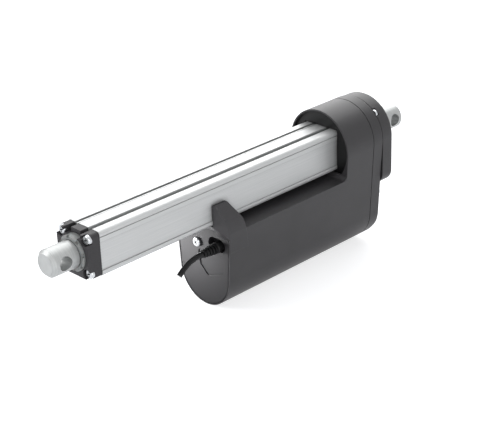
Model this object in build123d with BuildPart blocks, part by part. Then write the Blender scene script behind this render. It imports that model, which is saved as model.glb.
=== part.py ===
from build123d import *
import math
import os

os.makedirs("parts", exist_ok=True)

# Frame: millimetres, +X is the way the rod extends, +Z up, origin at the centre of the rear eye's bore

# Overall sizes of the cast housing, the three that the picture states
overall_width = 76.0
overall_height = 148.0
housing_length = 229.0

# Reach of the actuator
retracted_length = 428.0
stroke = 250.0
eye_bore_d = 12.8
eye_d = 25.4
eye_end = 13.0
eye_chamfer = 3.0

# Positions along the rod axis, from the rear eye's bore forward
cover_rear_x = 33.0
cover_depth = 16.0
gear_cover_depth = 14.0
gasket_t = 0.8
collar_front_x = 102.0
collar_pocket_depth = 3.5
collar_rim = 1.6
collar_blend_r = 5.0
tube_rear_x = 92.0
cap_front_x = 411.0
cap_depth = 13.5
motor_front_x = cover_rear_x + housing_length
gear_cover_x = cover_rear_x + cover_depth
seam_x = gear_cover_x + gear_cover_depth
main_rear_x = seam_x + gasket_t
bulkhead_x = 82.0
cap_rear_x = cap_front_x - cap_depth
rod_eye_x = retracted_length

# Cast housing section: a large circle on the rod axis hulled with a smaller one on the motor axis
upper_r = overall_width / 2
wall = 3.2
roof_z = -26.5
board_room = 17.8
can_gap = 0.3
shell_height = overall_height - upper_r + roof_z
can_r = (shell_height - board_room - 2 * wall - can_gap) / 2
lower_r = can_r + can_gap + wall
motor_z = upper_r + lower_r - overall_height
shell_lip = 0.9
end_cap_t = 10.0
end_cap_flange_t = 3.0
horn_top = 0.0
horn_reach = 6.4
horn_width = 16.0
horn_length = 16.0
horn_foot = 24.0
horn_proud = 0.1

# Aluminium tube section
tube_w = 42.0
tube_corner_r = 3.5
tube_bore_r = 15.0
key_w = 5.0
key_r = 17.2
slot_y = 8.9
slot_mouth_w = 5.4
slot_mouth_depth = 2.0
slot_room_w = 7.6
slot_depth = 5.6
panel_depth = 0.8
panel_top_z = 11.5
panel_low_z = -15.4
screw_y = 16.4
screw_z = 15.8

# Fits
sliding_gap = 0.03
running_gap = 0.05
loose_gap = 0.2

# Rod
rod_r = 12.5
rod_bore_r = 9.5
nut_rear_x = 98.0
nut_flange = 24.0
nut_r = tube_bore_r - sliding_gap
nut_spigot = 22.0

# Spindle and its bearings
spindle_r = 8.0
spindle_bore_gap = 0.06
journal_r = 6.0
spindle_tip_x = 372.0
race_outer_r = 16.0
race_inner_r = 9.0
bearing_w = 10.0
rear_bearing_x = 52.0

# Gears
pressure_angle = math.radians(25.0)
backlash = 0.16
pinion_teeth = 14
idler_big_teeth = 58
idler_small_teeth = 26
spindle_teeth = 56
gear_module = -2 * motor_z / (pinion_teeth + idler_big_teeth + idler_small_teeth + spindle_teeth)
idler_z = -(idler_small_teeth + spindle_teeth) * gear_module / 2
idler_pin_r = 4.0
wheel_x = 65.0
wheel_w = 9.0
big_wheel_x = 75.5
big_wheel_w = 6.0

# Motor
can_t = 2.0
can_rear_x = tube_rear_x
can_front_room = 46.0
can_length = motor_front_x - can_front_room - can_rear_x
shaft_r = 3.0
magnet_t = 7.3
magnet_inner_r = can_r - can_t - magnet_t
air_gap = 0.6
core_r = magnet_inner_r - air_gap
coil_head = 9.0
motor_screw_y = can_r - 9.5
brush_box_y = can_r - can_t - 3.0

# Fasteners
head_r = 4.6
head_h = 3.2
screw_r = 2.0

case_screw_y = 23.9
case_screw_z = 23.9
low_screw_y = 27.6
low_screw_z = -58.0
cover_screw_y = 28.5
cover_screw_z = -37.5
cover_screw_high_z = 8.0
case_screw_tip_x = 74.0
case_boss_r = 4.0
low_boss_r = 4.6
head_room = 0.8
case_screw_places = [(side * case_screw_y, case_screw_z) for side in (-1, 1)]
low_screw_places = [(side * low_screw_y, low_screw_z) for side in (-1, 1)]
cover_screw_places = [
    (side * cover_screw_y, z)
    for side in (-1, 1)
    for z in (cover_screw_z, cover_screw_high_z)
]

# Control board
board_rear_x = 112.0
board_length = motor_front_x - 18.0 - board_rear_x
board_width = 54.0
board_post_h = 8.7
board_top_z = roof_z - wall - board_post_h
board_t = 1.6
board_screw_r = 1.5
board_post_y = 22.0
board_post_inset = 8.0
board_posts = [
    (x, side * board_post_y)
    for x in (board_rear_x + board_post_inset, board_rear_x + board_length - board_post_inset)
    for side in (-1, 1)
]

# Cable
cable_d = 5.2
gland_y = 21.0
gland_z = -43.4
gland_front_x = motor_front_x + 5.0
gland_tip_x = gland_front_x + 15.5
end_screw_y = -7.2
end_screw_z = -47.0


def yz(x):
    return Plane.YZ.offset(x)


def hull_section(inset):
    with BuildSketch() as section:
        Circle(upper_r - inset)
        with Locations((0, motor_z)):
            Circle(lower_r - inset)
        make_hull()
    return section.sketch


def hull_side_y(z):
    """Half width of the hull section between its two circles at the height z."""
    lean = math.asin((upper_r - lower_r) / -motor_z)
    return (upper_r + z * math.sin(lean)) / math.cos(lean)


def gear_points(teeth, phase_deg):
    """Outline of an involute spur gear with one tooth centred on the phase angle."""
    pitch_r = gear_module * teeth / 2
    base_r = pitch_r * math.cos(pressure_angle)
    tip_r = pitch_r + gear_module
    root_r = pitch_r - 1.25 * gear_module
    half_pitch = (math.pi * gear_module / 2 - backlash) / 2 / pitch_r
    inv_pitch = math.tan(pressure_angle) - pressure_angle
    start_r = max(base_r, root_r + 0.15)
    flank = []
    for step in range(4):
        r = start_r + (tip_r - start_r) * step / 3
        angle = math.acos(min(1.0, base_r / r))
        flank.append((r, half_pitch + inv_pitch - (math.tan(angle) - angle)))
    points = []
    for tooth in range(teeth):
        centre = math.radians(phase_deg) + 2 * math.pi * tooth / teeth
        outline = [(root_r, -flank[0][1])]
        outline += [(r, -a) for r, a in flank]
        outline += [(r, a) for r, a in reversed(flank)]
        outline += [(root_r, flank[0][1])]
        points += [(r * math.cos(centre + a), r * math.sin(centre + a)) for r, a in outline]
    return points


# Outer tube: square extrusion with two slots on top, side panels, a keyed bore and four screw channels
with BuildPart() as outer_tube:
    with BuildSketch(yz(tube_rear_x)):
        RectangleRounded(tube_w, tube_w, tube_corner_r)
        Circle(tube_bore_r, mode=Mode.SUBTRACT)
        Rectangle(2 * key_r, key_w, mode=Mode.SUBTRACT)
        with Locations((-slot_y, tube_w / 2), (slot_y, tube_w / 2)):
            Rectangle(slot_mouth_w, 2 * slot_mouth_depth, mode=Mode.SUBTRACT)
        with Locations((-slot_y, tube_w / 2 - slot_depth), (slot_y, tube_w / 2 - slot_depth)):
            Rectangle(
                slot_room_w,
                slot_depth - slot_mouth_depth,
                align=(Align.CENTER, Align.MIN),
                mode=Mode.SUBTRACT,
            )
        with Locations((-slot_y, tube_w / 2 - slot_depth)):
            Rectangle(1.8, slot_depth - 0.8, align=(Align.CENTER, Align.MIN))
        with GridLocations(2 * screw_y, 2 * screw_z, 2, 2):
            Circle(screw_r, mode=Mode.SUBTRACT)
        for side in (-1, 1):
            with Locations((side * tube_w / 2, (panel_top_z + panel_low_z) / 2)):
                Rectangle(2 * panel_depth, panel_top_z - panel_low_z, mode=Mode.SUBTRACT)
            with Locations((side * tube_w / 2, 16.0)):
                Rectangle(1.0, 0.9, mode=Mode.SUBTRACT)
            with Locations((side * 12.0, -tube_w / 2)):
                Rectangle(1.2, 1.0, mode=Mode.SUBTRACT)
    extrude(amount=cap_rear_x - tube_rear_x)
outer_tube.part.label = "outer_tube"
export_step(outer_tube.part, "parts/outer_tube.step")

# Front cap: carries the wiper and closes the tube, notched where the tube's slots run out
cap_w = tube_w - 0.6
ring_seat_r = 16.6
ring_seat_depth = 5.0
land_step = 5.0
cap_head_depth = 5.2
cap_head_x = cap_front_x - cap_head_depth
with BuildPart() as front_cap:
    with BuildSketch(yz(cap_rear_x)):
        RectangleRounded(cap_w, cap_w, tube_corner_r)
        Circle(tube_bore_r, mode=Mode.SUBTRACT)
        with Locations((-slot_y, cap_w / 2), (slot_y, cap_w / 2)):
            Rectangle(slot_mouth_w, 2 * slot_depth, mode=Mode.SUBTRACT)
        with GridLocations(2 * screw_y, 2 * screw_z, 2, 2):
            Circle(screw_r + 0.25, mode=Mode.SUBTRACT)
    extrude(amount=cap_depth)
    with BuildSketch(yz(cap_front_x - ring_seat_depth)):
        Circle(ring_seat_r)
    extrude(amount=ring_seat_depth, mode=Mode.SUBTRACT)
    with BuildSketch(yz(cap_front_x - land_step)):
        with Locations((0, cap_w / 2)):
            Rectangle(2 * (screw_y - head_r), 2 * slot_depth, mode=Mode.ADD)
    extrude(amount=land_step, mode=Mode.SUBTRACT)
    with BuildSketch(yz(cap_front_x - cap_head_depth)):
        with GridLocations(2 * screw_y, 2 * screw_z, 2, 2):
            Circle(head_r + 0.5)
        with GridLocations(2 * (screw_y + head_r), 2 * (screw_z + head_r), 2, 2):
            Rectangle(2 * head_r, 2 * head_r)
    extrude(amount=cap_head_depth, mode=Mode.SUBTRACT)
front_cap.part.label = "front_cap"
export_step(front_cap.part, "parts/front_cap.step")

# Front cap screws: pan heads with a cross recess, shanks in the tube's screw channels
with BuildPart() as front_cap_screws:
    with BuildSketch(yz(cap_head_x)):
        with GridLocations(2 * screw_y, 2 * screw_z, 2, 2):
            Circle(head_r)
    extrude(amount=head_h)
    fillet(front_cap_screws.faces().sort_by(Axis.X)[-4:].edges(), 1.4)
    with BuildSketch(yz(cap_rear_x - 22.0)):
        with GridLocations(2 * screw_y, 2 * screw_z, 2, 2):
            Circle(screw_r)
    extrude(amount=cap_head_x - cap_rear_x + 22.0)
    with BuildSketch(yz(cap_head_x + head_h - 1.6)):
        with GridLocations(2 * screw_y, 2 * screw_z, 2, 2):
            Rectangle(4.6, 1.0, rotation=20)
            Rectangle(1.0, 4.6, rotation=20)
    extrude(amount=2.0, mode=Mode.SUBTRACT)
front_cap_screws.part.label = "front_cap_screws"
export_step(front_cap_screws.part, "parts/front_cap_screws.step")

# Wiper ring: pale ring round the rod, with four spanner notches
with BuildPart() as wiper_ring:
    with BuildSketch(yz(cap_front_x - ring_seat_depth)):
        Circle(ring_seat_r)
        Circle(rod_r + 2 * loose_gap, mode=Mode.SUBTRACT)
    extrude(amount=ring_seat_depth + 2.2)
    chamfer(wiper_ring.faces().sort_by(Axis.X)[-1].edges().sort_by(SortBy.RADIUS)[-1], 1.0)
    with BuildSketch(yz(cap_front_x + 0.6)):
        with PolarLocations(ring_seat_r, 8, start_angle=10):
            Rectangle(4.6, 3.4)
    extrude(amount=2.0, mode=Mode.SUBTRACT)
wiper_ring.part.label = "wiper_ring"
export_step(wiper_ring.part, "parts/wiper_ring.step")

# Wiper seal: rubber lip ring behind the wiper ring
with BuildPart() as wiper_seal:
    with BuildSketch(yz(cap_rear_x + 1.0)):
        Circle(tube_bore_r)
        Circle(rod_r + loose_gap, mode=Mode.SUBTRACT)
    extrude(amount=cap_depth - 6.0)
wiper_seal.part.label = "wiper_seal"
export_step(wiper_seal.part, "parts/wiper_seal.step")

# Guide bush: plastic bearing that the rod slides through
bush_rear_x = cap_rear_x - 22.0
with BuildPart() as guide_bush:
    with BuildSketch(yz(bush_rear_x)):
        Circle(tube_bore_r)
        Circle(rod_r + sliding_gap, mode=Mode.SUBTRACT)
    extrude(amount=22.0)
guide_bush.part.label = "guide_bush"
export_step(guide_bush.part, "parts/guide_bush.step")

# Main housing: gear chamber, bulkhead, collar round the tube and the long motor shell below
roof_low_z = roof_z - wall
flank_x = motor_front_x - horn_foot
with BuildPart() as main_housing:
    with BuildSketch(yz(main_rear_x)):
        add(hull_section(0))
    extrude(amount=collar_front_x - main_rear_x)
    with BuildSketch(yz(tube_rear_x)):
        add(hull_section(0))
        with Locations((0, roof_z)):
            Rectangle(2 * upper_r, 2 * upper_r, align=(Align.CENTER, Align.MIN), mode=Mode.SUBTRACT)
    extrude(amount=motor_front_x - tube_rear_x)
    with BuildSketch(Plane.XY.offset(roof_z)):
        with Locations((collar_front_x, 0)):
            Rectangle(motor_front_x - collar_front_x, 20.0, align=(Align.MIN, Align.CENTER))
    extrude(amount=-tube_w / 2 - roof_z)
    with BuildSketch(Plane.XZ):
        with BuildLine():
            Polyline(
                (collar_front_x + collar_blend_r, roof_z),
                (collar_front_x, roof_z),
                (collar_front_x, roof_z + collar_blend_r),
            )
            RadiusArc(
                (collar_front_x, roof_z + collar_blend_r),
                (collar_front_x + collar_blend_r, roof_z),
                -collar_blend_r,
            )
        make_face()
    extrude(amount=hull_side_y(roof_z) - horn_proud, both=True)
    for side in (-1, 1):
        with BuildSketch(Plane.XZ.offset(-side * tube_w / 2)):
            Polygon(
                (motor_front_x, roof_z - 20.0),
                (motor_front_x, roof_z - 6.5),
                (motor_front_x + horn_reach, roof_z + 4.5),
                (motor_front_x + horn_reach, horn_top),
                (motor_front_x + horn_reach - horn_length, horn_top),
                (motor_front_x - horn_foot + 5.0, (horn_top + roof_z) / 2 - 2.7),
                (motor_front_x - horn_foot + 2.8, roof_z),
                (motor_front_x - horn_foot, roof_z - 20.0),
                align=None,
            )
        extrude(amount=-side * horn_width)
    with BuildSketch(Plane.XY.offset(roof_z - 20.0)):
        with BuildLine():
            Polyline(
                (motor_front_x + horn_reach, tube_w / 2),
                (motor_front_x + 0.5, upper_r - 1.5),
                (motor_front_x + 0.5, tube_w),
                (motor_front_x + 2 * horn_reach, tube_w),
                (motor_front_x + 2 * horn_reach, tube_w / 2),
                close=True,
            )
        make_face()
        mirror(about=Plane.XZ)
    extrude(amount=horn_top + 1 - roof_z + 20.0, mode=Mode.SUBTRACT)
    with BuildSketch(yz(flank_x)):
        with BuildLine():
            Spline(
                (tube_w / 2 + 3.5, horn_top + 1),
                (tube_w / 2 + 7.0, horn_top - 5.7),
                (upper_r - 4.5, horn_top - 14.5),
                (hull_side_y(roof_z) - 0.6, roof_z + 5.0),
                (hull_side_y(roof_z) + horn_proud, roof_z),
            )
            Polyline(
                (hull_side_y(roof_z) + horn_proud, roof_z),
                (hull_side_y(roof_z - 25.0) + horn_proud, roof_z - 25.0),
                (tube_w + horn_width, roof_z - 25.0),
                (tube_w + horn_width, horn_top + 1),
                (tube_w / 2 + 3.5, horn_top + 1),
            )
        make_face()
        mirror(about=Plane.YZ)
    extrude(amount=horn_foot + 2 * horn_reach, mode=Mode.SUBTRACT)
    with BuildSketch(yz(tube_rear_x)):
        Rectangle(tube_w, tube_w)
    extrude(amount=motor_front_x + 2 * horn_reach - tube_rear_x, mode=Mode.SUBTRACT)
    with BuildSketch(yz(collar_front_x - collar_pocket_depth)):
        Circle(upper_r - collar_rim)
        with Locations((0, -tube_w / 2 - 2.0)):
            Rectangle(2 * upper_r, upper_r, align=(Align.CENTER, Align.MAX), mode=Mode.SUBTRACT)
    extrude(amount=collar_pocket_depth, mode=Mode.SUBTRACT)
    with BuildSketch(yz(main_rear_x)):
        add(hull_section(wall + 0.4))
    extrude(amount=bulkhead_x - main_rear_x, mode=Mode.SUBTRACT)
    with BuildSketch(yz(main_rear_x)):
        with Locations(*case_screw_places):
            Circle(case_boss_r)
        with Locations(*low_screw_places):
            Circle(low_boss_r)
    extrude(amount=case_screw_tip_x - main_rear_x)
    with BuildSketch(yz(main_rear_x)):
        with Locations(*case_screw_places, *low_screw_places):
            Circle(screw_r)
    extrude(amount=case_screw_tip_x - main_rear_x, mode=Mode.SUBTRACT)
    with BuildSketch(yz(tube_rear_x)):
        add(hull_section(wall))
        with Locations((0, roof_low_z)):
            Rectangle(2 * upper_r, 2 * upper_r, align=(Align.CENTER, Align.MIN), mode=Mode.SUBTRACT)
    extrude(amount=motor_front_x - tube_rear_x, mode=Mode.SUBTRACT)
    with BuildSketch(yz(motor_front_x - end_cap_flange_t)):
        add(hull_section(shell_lip))
        with Locations((0, roof_low_z)):
            Rectangle(2 * upper_r, 2 * upper_r, align=(Align.CENTER, Align.MIN), mode=Mode.SUBTRACT)
    extrude(amount=end_cap_flange_t, mode=Mode.SUBTRACT)
    with BuildSketch(Plane.XY.offset(board_top_z)):
        with Locations(*board_posts):
            Circle(4.0)
            Circle(board_screw_r, mode=Mode.SUBTRACT)
    extrude(amount=board_post_h)
    with BuildSketch(yz(bulkhead_x)):
        Circle(race_outer_r)
        with Locations((0, motor_z)):
            Circle(9.0)
            with Locations((-motor_screw_y, 0), (motor_screw_y, 0)):
                Circle(screw_r)
        with Locations((0, idler_z)):
            Circle(idler_pin_r)
    extrude(amount=tube_rear_x - bulkhead_x, mode=Mode.SUBTRACT)
main_housing.part.label = "main_housing"
export_step(main_housing.part, "parts/main_housing.step")


# Gear cover: rear half of the gear case, rounded below, with seats for the bearing and the idler pin
cover_wall = 3.0
seat_x = gear_cover_x + cover_wall
joint_groove = 1.2
with BuildPart() as gear_cover:
    with BuildSketch(yz(gear_cover_x)):
        add(hull_section(joint_groove))
    extrude(amount=joint_groove)
    with BuildSketch(yz(gear_cover_x + joint_groove)):
        add(hull_section(0))
    extrude(amount=gear_cover_depth - joint_groove)
    with BuildSketch(Plane.XZ):
        with BuildLine():
            Polyline(
                (seam_x, motor_z - lower_r),
                (seam_x, upper_r),
                (gear_cover_x, upper_r),
                (gear_cover_x, motor_z - 3.0),
            )
            Bezier(
                (gear_cover_x, motor_z - 3.0),
                (gear_cover_x + 0.4, motor_z - 0.82 * lower_r),
                (seam_x, motor_z - lower_r),
            )
        make_face()
    extrude(amount=upper_r + 1, both=True, mode=Mode.INTERSECT)
    with BuildSketch(yz(seat_x)):
        add(hull_section(wall + 0.4))
        Circle(race_outer_r + 3.0, mode=Mode.SUBTRACT)
        with Locations((0, idler_z)):
            Circle(7.5, mode=Mode.SUBTRACT)
        with Locations(*case_screw_places):
            Circle(case_boss_r, mode=Mode.SUBTRACT)
        with Locations(*low_screw_places, *cover_screw_places):
            Circle(low_boss_r, mode=Mode.SUBTRACT)
        with Locations((0, motor_z - 13.0)):
            Rectangle(2 * upper_r, lower_r, align=(Align.CENTER, Align.MAX), mode=Mode.SUBTRACT)
    extrude(amount=gear_cover_depth, mode=Mode.SUBTRACT)
    with BuildSketch(yz(seat_x)):
        Circle(race_outer_r)
        with Locations((0, idler_z)):
            Circle(idler_pin_r)
    extrude(amount=gear_cover_depth, mode=Mode.SUBTRACT)
    with BuildSketch(yz(gear_cover_x)):
        Circle(11.0)
        with Locations(*case_screw_places, *low_screw_places, *cover_screw_places):
            Circle(screw_r)
    extrude(amount=gear_cover_depth, mode=Mode.SUBTRACT)
    with BuildSketch(yz(rear_bearing_x + bearing_w)):
        Circle(race_outer_r + 3.4)
    extrude(amount=5.0, mode=Mode.SUBTRACT)
gear_cover.part.label = "gear_cover"
export_step(gear_cover.part, "parts/gear_cover.step")

# Gasket between the gear cover and the main housing
with BuildPart() as gear_gasket:
    with BuildSketch(yz(seam_x)):
        add(hull_section(0.3))
        add(hull_section(wall + 0.4), mode=Mode.SUBTRACT)
        with Locations(*case_screw_places, *low_screw_places):
            Circle(screw_r, mode=Mode.SUBTRACT)
    extrude(amount=gasket_t)
gear_gasket.part.label = "gear_gasket"
export_step(gear_gasket.part, "parts/gear_gasket.step")

# Back cover: cup behind the upper half of the gear case, holding the rear eye's flange
back_r = upper_r - 0.6
back_low_z = -49.0
back_corner_r = 12.5
back_edge_r = 3.5
back_wall = 4.0
head_seat_x = gear_cover_x - 4.0


def back_outline(inset):
    with BuildSketch() as outline:
        Circle(back_r - inset)
        Rectangle(2 * (back_r - inset), -back_low_z - inset, align=(Align.CENTER, Align.MAX))
        fillet(outline.vertices().group_by(Axis.Y)[0], back_corner_r - inset)
    return outline.sketch


with BuildPart() as back_cover:
    with BuildSketch(yz(cover_rear_x)):
        add(back_outline(0))
    extrude(amount=cover_depth)
    fillet(back_cover.faces().sort_by(Axis.X)[0].edges(), back_edge_r)
    with BuildSketch(yz(cover_rear_x + back_wall)):
        add(back_outline(back_wall))
        with Locations(*case_screw_places, *cover_screw_places):
            Circle(2 * case_boss_r, mode=Mode.SUBTRACT)
    extrude(amount=cover_depth, mode=Mode.SUBTRACT)
    with BuildSketch(yz(cover_rear_x)):
        with Locations(*cover_screw_places):
            Circle(head_r + 1.0)
    extrude(amount=head_seat_x - cover_rear_x, mode=Mode.SUBTRACT)
    with BuildSketch(yz(cover_rear_x)):
        Circle(eye_d / 2)
        with Locations(*cover_screw_places):
            Circle(screw_r)
    extrude(amount=cover_depth, mode=Mode.SUBTRACT)
    with BuildSketch(yz(gear_cover_x)):
        with Locations(*case_screw_places):
            Circle(head_r + head_room)
    extrude(amount=-head_h - head_room, mode=Mode.SUBTRACT)
back_cover.part.label = "back_cover"
export_step(back_cover.part, "parts/back_cover.step")

# Rear eye: round shank with a cross bore outside and a flange inside the back cover
eye_flange_r = 21.0
eye_flange_t = 5.0
flange_x = cover_rear_x + back_wall
with BuildPart() as rear_eye:
    with BuildSketch(yz(-eye_end)):
        Circle(eye_d / 2)
    extrude(amount=flange_x + eye_end)
    chamfer(rear_eye.faces().sort_by(Axis.X)[0].edges(), eye_chamfer)
    with BuildSketch(yz(flange_x)):
        Circle(eye_flange_r)
    extrude(amount=eye_flange_t)
    with BuildSketch(Plane.XZ):
        Circle(eye_bore_d / 2)
    extrude(amount=eye_d, both=True, mode=Mode.SUBTRACT)
rear_eye.part.label = "rear_eye"
export_step(rear_eye.part, "parts/rear_eye.step")

# Eye spacer: ring that clamps the rear eye's flange against the back cover
with BuildPart() as eye_spacer:
    with BuildSketch(yz(flange_x + eye_flange_t)):
        Circle(eye_flange_r)
        Circle(14.0, mode=Mode.SUBTRACT)
    extrude(amount=gear_cover_x - flange_x - eye_flange_t)
eye_spacer.part.label = "eye_spacer"
export_step(eye_spacer.part, "parts/eye_spacer.step")


def pan_screws(places, head_x, reach, head_sign=-1):
    """Pan head screws along X, heads on the rear side of head_x for -1, on its front side for 1."""
    with BuildPart() as screws:
        with BuildSketch(yz(head_x)):
            with Locations(*places):
                Circle(head_r)
        extrude(amount=head_sign * head_h)
        tops = screws.faces().sort_by(Axis.X)
        tops = tops[:len(places)] if head_sign < 0 else tops[-len(places):]
        fillet(tops.edges(), 1.4)
        with BuildSketch(yz(head_x)):
            with Locations(*places):
                Circle(screw_r)
        extrude(amount=-head_sign * reach)
        with BuildSketch(yz(head_x + head_sign * (head_h - 1.6))):
            with Locations(*places):
                Rectangle(4.6, 1.0, rotation=35)
                Rectangle(1.0, 4.6, rotation=35)
        extrude(amount=head_sign * 2.0, mode=Mode.SUBTRACT)
    return screws


# Case screws: two heads under the back cover's edge and two below it, all reaching the main housing
case_screws = pan_screws(
    case_screw_places + low_screw_places,
    gear_cover_x,
    case_screw_tip_x - gear_cover_x,
)
case_screws.part.label = "case_screws"
export_step(case_screws.part, "parts/case_screws.step")

# Back cover screws: four heads in the back cover's pockets
cover_screws = pan_screws(
    cover_screw_places,
    head_seat_x,
    14.0,
)
cover_screws.part.label = "cover_screws"
export_step(cover_screws.part, "parts/cover_screws.step")


def sealed_bearing_outer(x, outer_r, width, inner_r):
    """Outer race with a shield on each face."""
    with BuildPart() as race:
        with BuildSketch(yz(x)):
            Circle(outer_r)
            Circle(inner_r + running_gap, mode=Mode.SUBTRACT)
        extrude(amount=width)
        with BuildSketch(yz(x + 1.0)):
            Circle(outer_r - (outer_r - inner_r) * 0.36)
        extrude(amount=width - 2.0, mode=Mode.SUBTRACT)
    return race


# Outer races of the two spindle bearings
with BuildPart() as spindle_bearing_races:
    add(sealed_bearing_outer(rear_bearing_x, race_outer_r, bearing_w, race_inner_r).part)
    add(sealed_bearing_outer(bulkhead_x, race_outer_r, bearing_w, race_inner_r).part)
spindle_bearing_races.part.label = "spindle_bearing_races"
export_step(spindle_bearing_races.part, "parts/spindle_bearing_races.step")

# Inner races of the spindle bearings, pressed on the spindle
with BuildPart() as spindle_inner_races:
    for x in (rear_bearing_x, bulkhead_x):
        with BuildSketch(yz(x)):
            Circle(race_inner_r)
            Circle(journal_r, mode=Mode.SUBTRACT)
        extrude(amount=bearing_w)
spindle_inner_races.part.label = "spindle_inner_races"
export_step(spindle_inner_races.part, "parts/spindle_inner_races.step")

# Spindle: ground journal at the rear, trapezoidal screw in front
journal_rear_x = 45.5
with BuildPart() as spindle:
    with BuildSketch(yz(journal_rear_x)):
        Circle(journal_r)
    extrude(amount=tube_rear_x - journal_rear_x)
    with BuildSketch(yz(tube_rear_x)):
        Circle(spindle_r)
    extrude(amount=spindle_tip_x - tube_rear_x)
    chamfer(spindle.faces().sort_by(Axis.X)[-1].edges(), 1.5)
    chamfer(spindle.faces().sort_by(Axis.X)[0].edges(), 0.8)
spindle.part.label = "spindle"
export_step(spindle.part, "parts/spindle.step")

# Spindle lock nut behind the rear bearing
with BuildPart() as spindle_lock_nut:
    with BuildSketch(yz(journal_rear_x + 1.5)):
        RegularPolygon(9.2, 6, major_radius=False)
    extrude(amount=rear_bearing_x - journal_rear_x - 2.1)
    with BuildSketch(yz(rear_bearing_x - 0.6)):
        Circle(8.4)
    extrude(amount=0.6)
    with BuildSketch(yz(journal_rear_x)):
        Circle(journal_r)
    extrude(amount=rear_bearing_x - journal_rear_x, mode=Mode.SUBTRACT)
spindle_lock_nut.part.label = "spindle_lock_nut"
export_step(spindle_lock_nut.part, "parts/spindle_lock_nut.step")

# Spindle gear with its hub between the bearing and the spacer
with BuildPart() as spindle_gear:
    with BuildSketch(yz(wheel_x)):
        Polygon(*gear_points(spindle_teeth, -90.0), align=None)
        with PolarLocations(18.5, 6):
            Circle(4.6, mode=Mode.SUBTRACT)
    extrude(amount=wheel_w)
    with BuildSketch(yz(rear_bearing_x + bearing_w)):
        Circle(race_inner_r)
    extrude(amount=14.0)
    with BuildSketch(yz(rear_bearing_x + bearing_w)):
        Circle(journal_r)
    extrude(amount=14.0, mode=Mode.SUBTRACT)
spindle_gear.part.label = "spindle_gear"
export_step(spindle_gear.part, "parts/spindle_gear.step")

# Spacer sleeve between the spindle gear and the front bearing
with BuildPart() as spindle_spacer:
    with BuildSketch(yz(rear_bearing_x + bearing_w + 14.0)):
        Circle(8.5)
        Circle(journal_r, mode=Mode.SUBTRACT)
    extrude(amount=bulkhead_x - rear_bearing_x - bearing_w - 14.0)
spindle_spacer.part.label = "spindle_spacer"
export_step(spindle_spacer.part, "parts/spindle_spacer.step")

# Idler gear: a large wheel driven by the motor pinion and a small one that drives the spindle gear
idler_rear_x = wheel_x - 0.8
with BuildPart() as idler_gear:
    with BuildSketch(yz(idler_rear_x)):
        with Locations((0, idler_z)):
            Polygon(*gear_points(idler_small_teeth, 90.0 + 180.0 / idler_small_teeth), align=None)
    extrude(amount=big_wheel_x - idler_rear_x)
    with BuildSketch(yz(big_wheel_x)):
        with Locations((0, idler_z)):
            Polygon(*gear_points(idler_big_teeth, -90.0), align=None)
    extrude(amount=big_wheel_w)
    with BuildSketch(yz(idler_rear_x)):
        with Locations((0, idler_z)):
            Circle(idler_pin_r + running_gap)
    extrude(amount=30.0, mode=Mode.SUBTRACT)
idler_gear.part.label = "idler_gear"
export_step(idler_gear.part, "parts/idler_gear.step")

# Idler pin, fixed in the gear cover and the bulkhead
with BuildPart() as idler_pin:
    with BuildSketch(yz(seat_x)):
        with Locations((0, idler_z)):
            Circle(idler_pin_r)
    extrude(amount=tube_rear_x - 2.0 - seat_x)
idler_pin.part.label = "idler_pin"
export_step(idler_pin.part, "parts/idler_pin.step")

# Drive nut: flanged nut with two keys that run in the tube's keyways
with BuildPart() as drive_nut:
    with BuildSketch(yz(nut_rear_x)):
        Circle(nut_r)
        Rectangle(2 * (key_r - loose_gap), key_w - 2 * loose_gap)
    extrude(amount=nut_flange)
    with BuildSketch(yz(nut_rear_x + nut_flange)):
        Circle(rod_bore_r)
    extrude(amount=nut_spigot)
    with BuildSketch(yz(nut_rear_x)):
        Circle(spindle_r + spindle_bore_gap)
    extrude(amount=nut_flange + nut_spigot, mode=Mode.SUBTRACT)
drive_nut.part.label = "drive_nut"
export_step(drive_nut.part, "parts/drive_nut.step")

# Piston tube from the nut's flange to the rod end
piston_front_x = cap_front_x + 2.6
with BuildPart() as piston_tube:
    with BuildSketch(yz(nut_rear_x + nut_flange)):
        Circle(rod_r)
        Circle(rod_bore_r, mode=Mode.SUBTRACT)
    extrude(amount=piston_front_x - nut_rear_x - nut_flange)
piston_tube.part.label = "piston_tube"
export_step(piston_tube.part, "parts/piston_tube.step")

# Rod end eye: plug with a spigot in the piston tube and a cross bore
with BuildPart() as rod_end:
    with BuildSketch(yz(piston_front_x)):
        Circle(eye_d / 2)
    extrude(amount=rod_eye_x + eye_end - piston_front_x)
    chamfer(rod_end.faces().sort_by(Axis.X)[-1].edges(), eye_chamfer)
    with BuildSketch(yz(piston_front_x - 24.0)):
        Circle(rod_bore_r)
    extrude(amount=24.0)
    with BuildSketch(Plane.XZ):
        with Locations((rod_eye_x, 0)):
            Circle(eye_bore_d / 2)
    extrude(amount=eye_d, both=True, mode=Mode.SUBTRACT)
rod_end.part.label = "rod_end"
export_step(rod_end.part, "parts/rod_end.step")

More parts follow.
